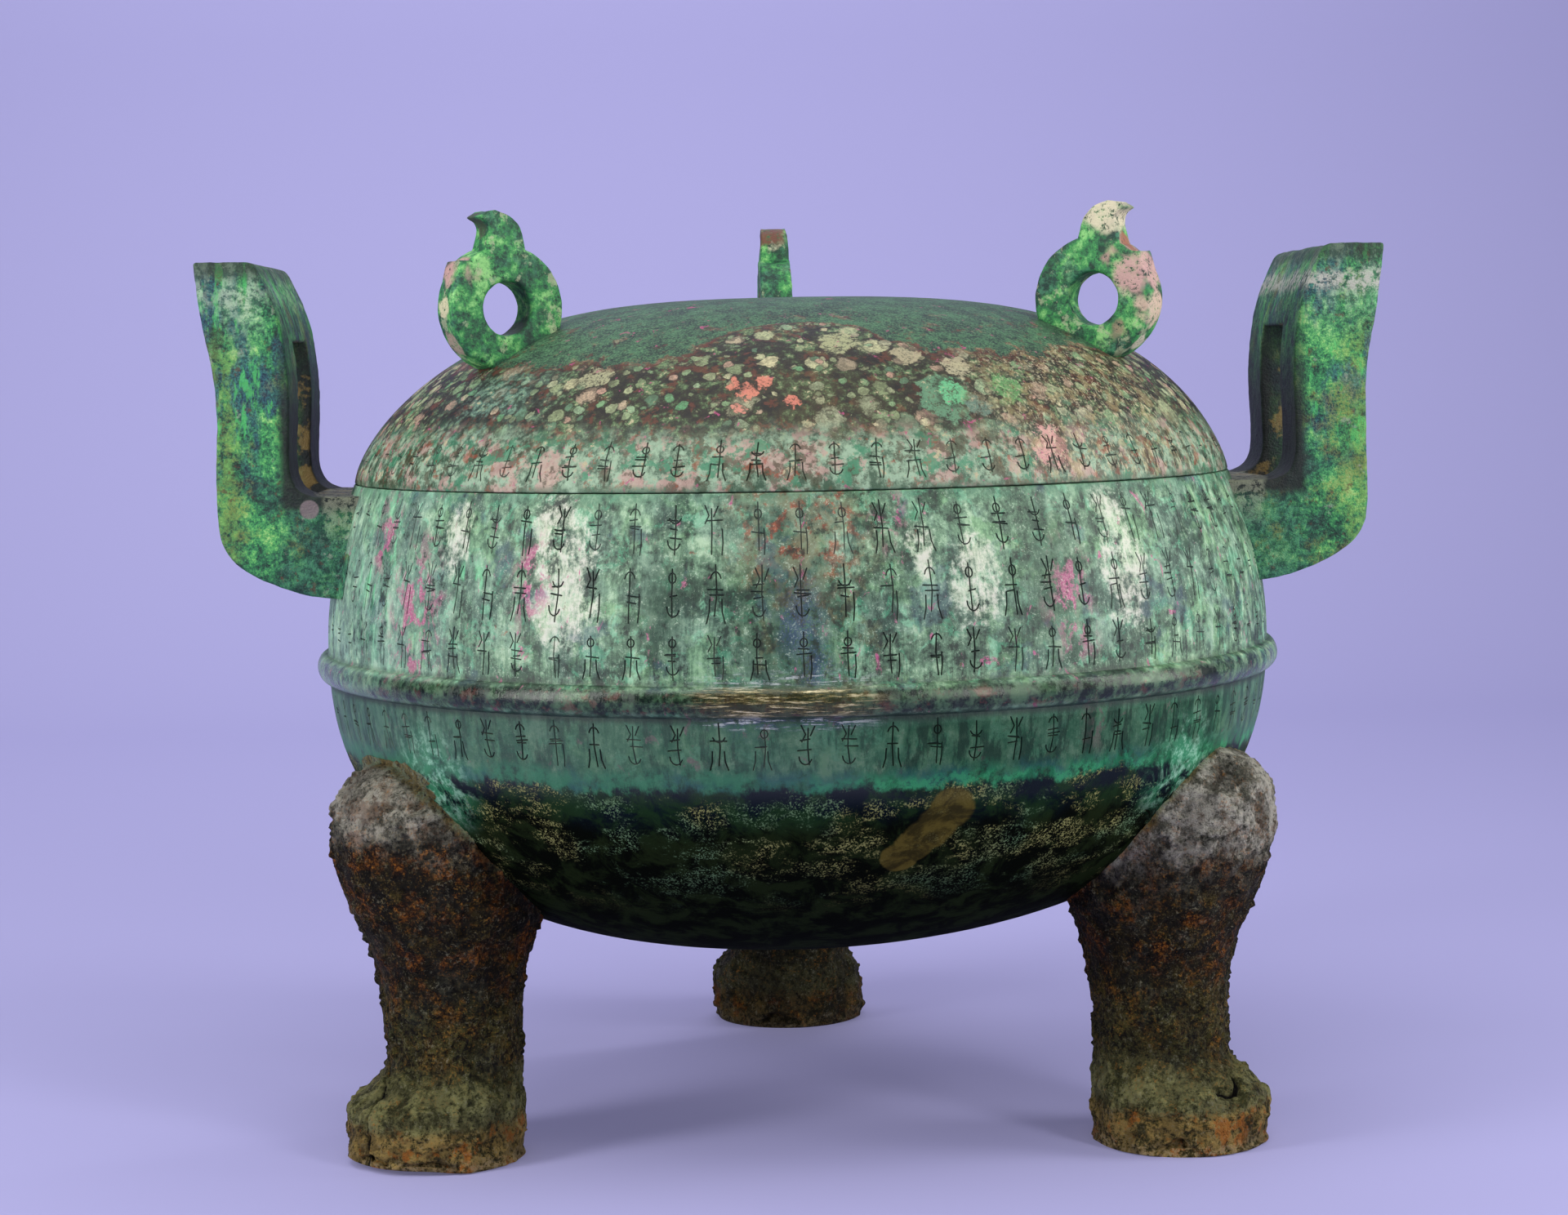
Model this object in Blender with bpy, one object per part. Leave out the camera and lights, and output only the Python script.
"""Lidded bronze cauldron on three iron legs, with two upright side handles
and three ring knobs on the lid. Metres, +Z up, floor at z = 0."""

import math

import bmesh
import bpy
from mathutils import Matrix, Vector

# Bowl. Its upper and lower walls are superellipses that meet at the widest level.
BELLY_R = 0.2694
BELLY_Z = 0.2744
FOOT_DROP = 0.1750
LOWER_POWER = 2.434
SHOULDER_RISE = 0.287
SHOULDER_POWER = 1.8
SEAM_Z = 0.3650
WALL = 0.0050
RIDGE_Z = 0.2618
RIDGE_HALF = 0.0078
RIDGE_OUT = 0.0066

# Mouth: a flat ledge for the lid with an upright collar inside it.
MOUTH_R = 0.2100
COLLAR_THICK = 0.0080
COLLAR_RISE = 0.0120
LEDGE_THICK = 0.0065

# Lid: a superellipse with one power for the radius and another for the height.
LID_RISE = 0.1013
LID_WIDE_POWER = 3.258
LID_HIGH_POWER = 1.434
LID_WALL = 0.0045
LID_RIM = 0.0090
GAP = 0.0003

# Knobs: a ring with a beaked stem on top and a barb on its outer shoulder.
KNOB_IN = 0.0613
KNOB_LIFT = 0.0254
RING_R = 0.0342
RING_HOLE_R = 0.0144
KNOB_THICK = 0.0200
STEM_H = 0.0192
STEM_W = 0.0235
BEAK_OUT = 0.0062
BARB = 0.0038
KNOB_EDGE = 0.0016
KNOB_ANGLES = {"rear": 91.3, "front_left": 211.3, "front_right": 331.3}

# Handles: a strap that leaves the wall, turns up and flares, with a slot.
EAR_WIDE = 0.1470
EAR_TIP_X = 0.3290
EAR_TOP_Z = 0.4905
EAR_LIMB_X = 0.3195
EAR_LIMB_THICK = 0.0410
EAR_ARM_DROP = 0.0045
EAR_ARM_HIGH = 0.0565
SLOT_WIDE = 0.0600
SLOT_CROWN = 0.0450
SLOT_DROP = 0.0155
SLOT_IN_X = 0.2690
EAR_EDGE = 0.0020

# Legs: round sections from foot to haunch.
FOOT_R = 0.0488
FOOT_PLACE_R = 0.2360
FOOT_SIDE_H = 0.0285
ANKLE_R = 0.0372
ANKLE_PLACE_R = 0.2245
ANKLE_Z = 0.0650
HAUNCH_DEEP = 0.0590
HAUNCH_WIDE = 0.0545
HAUNCH_PLACE_R = 0.2305
HAUNCH_Z = 0.1780
LEG_TOP_Z = 0.2225
LEG_ANGLES = {"rear": 90.0, "front_left": 210.0, "front_right": 330.0}

ROUND = 52
LEG_ROUND = 22
RING_STEPS = 20


def clear():
    for thing in list(bpy.data.objects):
        bpy.data.objects.remove(thing)


def slot(name, colour, metallic, roughness):
    made = bpy.data.materials.new(name)
    made.use_nodes = True
    shader = made.node_tree.nodes["Principled BSDF"]
    shader.inputs["Base Color"].default_value = (*colour, 1.0)
    shader.inputs["Metallic"].default_value = metallic
    shader.inputs["Roughness"].default_value = roughness
    return made


def solid(name, points, faces, material=None, smooth=40.0):
    """A mesh object with outward faces; edges sharper than smooth degrees stay hard."""
    mesh = bpy.data.meshes.new(name)
    work = bmesh.new()
    made = [work.verts.new(point) for point in points]
    for face in faces:
        work.faces.new([made[i] for i in face])
    bmesh.ops.recalc_face_normals(work, faces=work.faces)
    work.to_mesh(mesh)
    work.free()
    mesh.shade_smooth()
    mesh.set_sharp_from_angle(angle=math.radians(smooth))
    thing = bpy.data.objects.new(name, mesh)
    bpy.context.scene.collection.objects.link(thing)
    if material:
        mesh.materials.append(material)
    else:
        thing.hide_render = True
        thing.display_type = "WIRE"
    return thing


def revolve(name, profile, material=None):
    """Turn a profile that starts and ends on the axis into a closed solid."""
    points = [(0.0, 0.0, profile[0][1])]
    faces = []
    for r, z in profile[1:-1]:
        for step in range(ROUND):
            turn = 2.0 * math.pi * step / ROUND
            points.append((r * math.cos(turn), r * math.sin(turn), z))
    last = len(points)
    points.append((0.0, 0.0, profile[-1][1]))
    rings = len(profile) - 2
    for step in range(ROUND):
        after = (step + 1) % ROUND
        faces.append((0, 1 + step, 1 + after))
        faces.append((last, last - ROUND + after, last - ROUND + step))
        for ring in range(rings - 1):
            low = 1 + ring * ROUND
            high = low + ROUND
            faces.append((low + step, high + step, high + after, low + after))
    return solid(name, points, faces, material)


def loft(name, rings, material=None):
    """Skin equal rings of points and close both ends with a fan."""
    around = len(rings[0])
    points = [point for ring in rings for point in ring]
    faces = []
    for low in range(0, len(points) - around, around):
        for step in range(around):
            after = (step + 1) % around
            faces.append((low + step, low + after, low + around + after, low + around + step))
    faces.append(tuple(range(around)))
    faces.append(tuple(range(len(points) - around, len(points))))
    return solid(name, points, faces, material)


def plate(name, outline, thick, material=None):
    """A flat outline in x and z made thick along y."""
    count = len(outline)
    points = [(x, side * thick / 2.0, z) for side in (-1.0, 1.0) for x, z in outline]
    faces = [tuple(range(count)), tuple(range(count, 2 * count))]
    for step in range(count):
        after = (step + 1) % count
        faces.append((step, after, count + after, count + step))
    return solid(name, points, faces, material, smooth=30.0)


def cut(thing, tool):
    away = thing.modifiers.new("cut", "BOOLEAN")
    away.operation = "DIFFERENCE"
    away.solver = "EXACT"
    away.object = tool


def ease(thing, width):
    """Break the sharp edges of a piece before it is cut."""
    edge = thing.modifiers.new("edge", "BEVEL")
    edge.width = width
    edge.segments = 1
    edge.limit_method = "ANGLE"
    edge.angle_limit = math.radians(40.0)


def curve(points, steps):
    """A smooth line through the points, sampled steps times per span."""
    spots = [Vector(point) for point in points]
    spots = [2 * spots[0] - spots[1]] + spots + [2 * spots[-1] - spots[-2]]
    line = []
    for a, b, c, d in zip(spots, spots[1:], spots[2:], spots[3:]):
        for step in range(steps):
            t = step / steps
            line.append(0.5 * (2 * b + (c - a) * t + (2 * a - 5 * b + 4 * c - d) * t * t
                               + (3 * b - a - 3 * c + d) * t * t * t))
    line.append(spots[-2])
    return [tuple(spot) for spot in line]


def push(line, out):
    """Move a line of (r, z) points sideways by out, to its right when it climbs."""
    moved = []
    for i, here in enumerate(line):
        before = Vector(line[max(i - 1, 0)])
        after = Vector(line[min(i + 1, len(line) - 1)])
        way = (after - before).normalized()
        moved.append((here[0] + way.y * out, here[1] - way.x * out))
    return moved


def wall_r(z):
    """Outer radius of the bowl at a height, without the ridge."""
    if z < BELLY_Z:
        fall, power = (BELLY_Z - z) / FOOT_DROP, LOWER_POWER
    else:
        fall, power = (z - BELLY_Z) / SHOULDER_RISE, SHOULDER_POWER
    return BELLY_R * max(0.0, 1.0 - fall ** power) ** (1.0 / power)


def belly_line(steps):
    """Outer line of the lower bowl, from near the axis up to the ridge."""
    line = []
    top = math.asin(((BELLY_Z - RIDGE_Z + RIDGE_HALF) / FOOT_DROP) ** (LOWER_POWER / 2.0))
    for step in range(1, steps + 1):
        turn = math.pi / 2.0 - (math.pi / 2.0 - top) * step / steps
        r = BELLY_R * math.cos(turn) ** (2.0 / LOWER_POWER)
        z = BELLY_Z - FOOT_DROP * math.sin(turn) ** (2.0 / LOWER_POWER)
        line.append((r, z))
    return line


def ridge_line(steps):
    line = []
    for step in range(1, steps):
        turn = math.pi * (step / steps - 0.5)
        z = RIDGE_Z + RIDGE_HALF * math.sin(turn)
        line.append((wall_r(z) + RIDGE_OUT * math.cos(turn), z))
    return line


def shoulder_line(steps):
    low = RIDGE_Z + RIDGE_HALF
    heights = [low + (SEAM_Z - low) * step / steps for step in range(steps + 1)]
    return [(wall_r(z), z) for z in heights]


def bowl_outside():
    return belly_line(10) + ridge_line(4) + shoulder_line(4)


def bowl(material):
    outside = bowl_outside()
    plain = belly_line(8)[:-1] + [(wall_r(RIDGE_Z), RIDGE_Z)] + shoulder_line(3)[1:]
    under = SEAM_Z - LEDGE_THICK
    inside = [spot for spot in push(plain, -WALL) if spot[1] < under - WALL / 2.0]
    collar_r = MOUTH_R + COLLAR_THICK
    top = SEAM_Z + COLLAR_RISE
    edge = COLLAR_THICK / 5.0
    mouth = [
        (collar_r, SEAM_Z), (collar_r, top - edge), (collar_r - edge, top),
        (MOUTH_R + edge, top), (MOUTH_R, top - edge), (MOUTH_R, under),
        (wall_r(under) - WALL, under),
    ]
    base = BELLY_Z - FOOT_DROP
    profile = [(0.0, base)] + outside + mouth + inside[::-1] + [(0.0, base + WALL)]
    return revolve("bowl", profile, material)


def bowl_tool():
    """The bowl filled in and grown by the gap, to seat the legs and handles."""
    line = push(bowl_outside(), GAP)
    base = BELLY_Z - FOOT_DROP - GAP
    return revolve("bowl_tool", [(0.0, base)] + line + [(0.0, SEAM_Z)])


def lid_z(r):
    part = 1.0 - (r / wall_r(SEAM_Z)) ** LID_WIDE_POWER
    return SEAM_Z + LID_RISE * max(0.0, part) ** (1.0 / LID_HIGH_POWER)


def lid_line(steps):
    """Outer line of the lid, from near the axis down to its rim."""
    low = SEAM_Z + GAP + LID_WALL / 2.0
    full = math.acos(((low - SEAM_Z) / LID_RISE) ** (LID_HIGH_POWER / 2.0))
    line = []
    for step in range(1, steps + 1):
        turn = full * (step / steps) ** 0.9
        r = wall_r(SEAM_Z) * math.sin(turn) ** (2.0 / LID_WIDE_POWER)
        line.append((r, lid_z(r)))
    return line


def lid(material):
    rim = wall_r(SEAM_Z)
    foot = SEAM_Z + GAP
    outside = lid_line(10) + [(rim, foot), (rim - LID_RIM, foot)]
    high = foot + LID_RIM
    inside = [(r, z) for r, z in push(lid_line(8), LID_WALL) if z > high and r < rim - LID_RIM]
    inside = [(rim - LID_RIM, high)] + inside[::-1]
    apex = lid_z(0.0)
    return revolve("lid", [(0.0, apex)] + outside + inside + [(0.0, apex - LID_WALL)], material)


def lid_tool():
    """The lid filled in and grown by the gap, to seat the knobs."""
    line = push(lid_line(10), -GAP)
    return revolve("lid_tool", [(0.0, lid_z(0.0) + GAP)] + line + [(0.0, SEAM_Z)])


def knob_outline():
    """Ring edge, barb, stem and beak, as offsets from the ring's centre."""
    barb_at = math.radians(43.0)
    stem_out = math.asin(min(0.9, 0.62 * STEM_W / RING_R))
    stem_in = math.asin(min(0.9, 0.42 * STEM_W / RING_R))
    line = []
    start, stop = math.radians(90.0) + stem_in, math.radians(360.0) + barb_at - math.radians(9.0)
    for step in range(RING_STEPS + 1):
        turn = start + (stop - start) * step / RING_STEPS
        line.append((RING_R * math.cos(turn), RING_R * math.sin(turn)))
    far = RING_R + BARB
    line.append((far * math.cos(barb_at), far * math.sin(barb_at)))
    turn = barb_at + math.radians(6.0)
    line.append((RING_R * math.cos(turn), RING_R * math.sin(turn)))
    foot = (RING_R * math.sin(stem_out), RING_R * math.cos(stem_out))
    tip = (0.56 * STEM_W + BEAK_OUT, RING_R + 0.80 * STEM_H)
    neck = (0.52 * STEM_W, RING_R + 0.42 * STEM_H)
    under = (0.66 * STEM_W, RING_R + 0.66 * STEM_H)
    crown = (0.42 * STEM_W, RING_R + STEM_H)
    back = (-0.02 * STEM_W, RING_R + 0.90 * STEM_H)
    nape = (-0.32 * STEM_W, RING_R + 0.48 * STEM_H)
    last = (-RING_R * math.sin(stem_in), RING_R * math.cos(stem_in))
    line += curve([foot, neck, under, tip], 2)
    line += curve([tip, crown, back, nape, last], 2)[1:-1]
    return line


def knob(name, degrees, material, seat):
    place = wall_r(SEAM_Z) - KNOB_IN
    height = lid_z(place) + KNOB_LIFT
    outline = [(place + x, height + z) for x, z in knob_outline()]
    turn = Matrix.Rotation(math.radians(degrees), 4, "Z")
    body = plate(name, outline, KNOB_THICK, material)
    hole = []
    for y in (-KNOB_THICK, KNOB_THICK):
        hole.append([])
        for step in range(RING_STEPS):
            at = 2.0 * math.pi * step / RING_STEPS
            x, z = RING_HOLE_R * math.cos(at), RING_HOLE_R * math.sin(at)
            hole[-1].append((place + x, y, height + z))
    tool = loft(name + "_hole", hole)
    for thing in (body, tool):
        thing.data.transform(turn)
    cut(body, tool)
    ease(body, KNOB_EDGE)
    cut(body, seat)
    return body


def ear_outline():
    """Section of the strap: out along the arm, up the limb, over the flared top."""
    inner = EAR_LIMB_X - EAR_LIMB_THICK
    deep = MOUTH_R
    turn = SEAM_Z - EAR_ARM_DROP
    arm = turn - EAR_ARM_HIGH
    rise = EAR_TOP_Z - turn
    outside = curve([
        (deep + 0.050, arm - 0.0005), (EAR_LIMB_X - 0.036, arm + 0.0050),
        (EAR_LIMB_X - 0.0150, arm + 0.0150), (EAR_LIMB_X - 0.0032, arm + 0.0275),
        (EAR_LIMB_X + 0.0006, arm + 0.0460), (EAR_LIMB_X - 0.0002, turn + 0.335 * rise),
        (EAR_LIMB_X + 0.0012, turn + 0.527 * rise), (EAR_LIMB_X + 0.0058, turn + 0.719 * rise),
        (EAR_TIP_X, EAR_TOP_Z - 0.0050),
    ], 2)
    top = [
        (EAR_TIP_X - 0.0012, EAR_TOP_Z - 0.0016), (EAR_TIP_X - 0.0085, EAR_TOP_Z),
        (inner + 0.0215, EAR_TOP_Z - 0.0004), (inner + 0.0155, EAR_TOP_Z - 0.0040),
    ]
    inside = curve([
        (inner + 0.0125, EAR_TOP_Z - 0.085 * rise), (inner + 0.0066, EAR_TOP_Z - 0.192 * rise),
        (inner + 0.0018, EAR_TOP_Z - 0.338 * rise),
        (inner - 0.0004, EAR_TOP_Z - 0.554 * rise), (inner + 0.0008, turn + 0.0210),
        (inner - 0.0016, turn + 0.0072), (inner - 0.0085, turn + 0.0014),
        (inner - 0.0190, turn), (deep, turn),
    ], 2)
    return [(deep, arm - 0.0005)] + outside + top + inside


def ear(name, side, material, seat):
    body = plate(name, ear_outline(), EAR_WIDE, material)
    hole = []
    for z in (SEAM_Z - EAR_ARM_DROP - SLOT_DROP, EAR_TOP_Z - SLOT_CROWN):
        half = SLOT_WIDE / 2.0
        far = EAR_TIP_X + EAR_LIMB_THICK
        hole.append([(SLOT_IN_X, -half, z), (far, -half, z), (far, half, z), (SLOT_IN_X, half, z)])
    tool = loft(name + "_slot", hole)
    if side < 0:
        for thing in (body, tool):
            thing.data.transform(Matrix.Rotation(math.pi, 4, "Z"))
    cut(body, tool)
    ease(body, EAR_EDGE)
    cut(body, seat)
    return body


def leg(name, degrees, material, seat):
    """Foot, ankle and haunch as oval rings: height, place, depth and width."""
    rise = HAUNCH_Z - ANKLE_Z
    more = HAUNCH_DEEP - ANKLE_R
    wide = HAUNCH_WIDE - ANKLE_R
    step_in = FOOT_R - ANKLE_R
    place = FOOT_PLACE_R - ANKLE_PLACE_R
    lean = HAUNCH_PLACE_R - ANKLE_PLACE_R
    head = LEG_TOP_Z - HAUNCH_Z
    spots = [
        (0.0, FOOT_PLACE_R, FOOT_R - 0.0012, FOOT_R - 0.0012),
        (0.0014, FOOT_PLACE_R, FOOT_R, FOOT_R),
        (FOOT_SIDE_H, FOOT_PLACE_R, FOOT_R, FOOT_R),
        (FOOT_SIDE_H + 0.0050, FOOT_PLACE_R - 0.15 * place, FOOT_R - 0.16 * step_in, FOOT_R - 0.16 * step_in),
        (FOOT_SIDE_H + 0.0160, FOOT_PLACE_R - 0.78 * place, ANKLE_R + 0.24 * step_in, ANKLE_R + 0.22 * step_in),
        (FOOT_SIDE_H + 0.0260, ANKLE_PLACE_R, ANKLE_R + 0.03 * step_in, ANKLE_R + 0.03 * step_in),
        (ANKLE_Z + 0.07 * rise, ANKLE_PLACE_R, ANKLE_R, ANKLE_R),
        (ANKLE_Z + 0.27 * rise, ANKLE_PLACE_R - 0.06 * lean, ANKLE_R + 0.10 * more, ANKLE_R + 0.13 * wide),
        (ANKLE_Z + 0.45 * rise, ANKLE_PLACE_R - 0.02 * lean, ANKLE_R + 0.36 * more, ANKLE_R + 0.44 * wide),
        (ANKLE_Z + 0.60 * rise, ANKLE_PLACE_R + 0.04 * lean, ANKLE_R + 0.66 * more, ANKLE_R + 0.78 * wide),
        (ANKLE_Z + 0.77 * rise, ANKLE_PLACE_R + 0.42 * lean, ANKLE_R + 0.90 * more, ANKLE_R + 0.96 * wide),
        (ANKLE_Z + 0.94 * rise, ANKLE_PLACE_R + 0.90 * lean, HAUNCH_DEEP, HAUNCH_WIDE),
        (HAUNCH_Z + 0.20 * head, HAUNCH_PLACE_R, HAUNCH_DEEP - 0.01 * more, HAUNCH_WIDE - 0.07 * wide),
        (HAUNCH_Z + 0.50 * head, HAUNCH_PLACE_R, HAUNCH_DEEP - 0.13 * more, 0.86 * HAUNCH_WIDE),
        (HAUNCH_Z + 0.76 * head, HAUNCH_PLACE_R - 0.25 * lean, 0.83 * HAUNCH_DEEP, 0.70 * HAUNCH_WIDE),
        (HAUNCH_Z + 0.93 * head, HAUNCH_PLACE_R - 0.40 * lean, 0.65 * HAUNCH_DEEP, 0.50 * HAUNCH_WIDE),
        (LEG_TOP_Z, HAUNCH_PLACE_R - 0.50 * lean, 0.44 * HAUNCH_DEEP, 0.28 * HAUNCH_WIDE),
    ]
    rings = []
    for z, at, deep, broad in spots:
        rings.append([])
        for step in range(LEG_ROUND):
            turn = 2.0 * math.pi * step / LEG_ROUND
            rings[-1].append((at + deep * math.cos(turn), broad * math.sin(turn), z))
    body = loft(name, rings, material)
    body.data.transform(Matrix.Rotation(math.radians(degrees), 4, "Z"))
    cut(body, seat)
    return body


def build():
    clear()
    bronze = slot("bronze_body", (0.20, 0.33, 0.26), 0.6, 0.55)
    cap = slot("bronze_lid", (0.17, 0.31, 0.25), 0.6, 0.55)
    handles = slot("bronze_handles", (0.24, 0.38, 0.30), 0.6, 0.60)
    knobs = slot("bronze_knobs", (0.22, 0.45, 0.34), 0.6, 0.55)
    iron = slot("iron_legs", (0.20, 0.16, 0.13), 0.5, 0.80)
    seat = bowl_tool()
    top = lid_tool()
    pieces = [bowl(bronze), lid(cap)]
    pieces.append(ear("ear_left", -1, handles, seat))
    pieces.append(ear("ear_right", 1, handles, seat))
    for place, degrees in LEG_ANGLES.items():
        pieces.append(leg("leg_" + place, degrees, iron, seat))
    for place, degrees in KNOB_ANGLES.items():
        pieces.append(knob("knob_" + place, degrees, knobs, top))
    # The origin is under the middle of the outline, so the axis sits a little forward.
    reach = HAUNCH_PLACE_R + HAUNCH_DEEP
    front = wall_r(RIDGE_Z) + RIDGE_OUT
    shift = Matrix.Translation((0.0, -(reach - front) / 2.0, 0.0))
    for thing in bpy.data.objects:
        thing.data.transform(shift)


build()
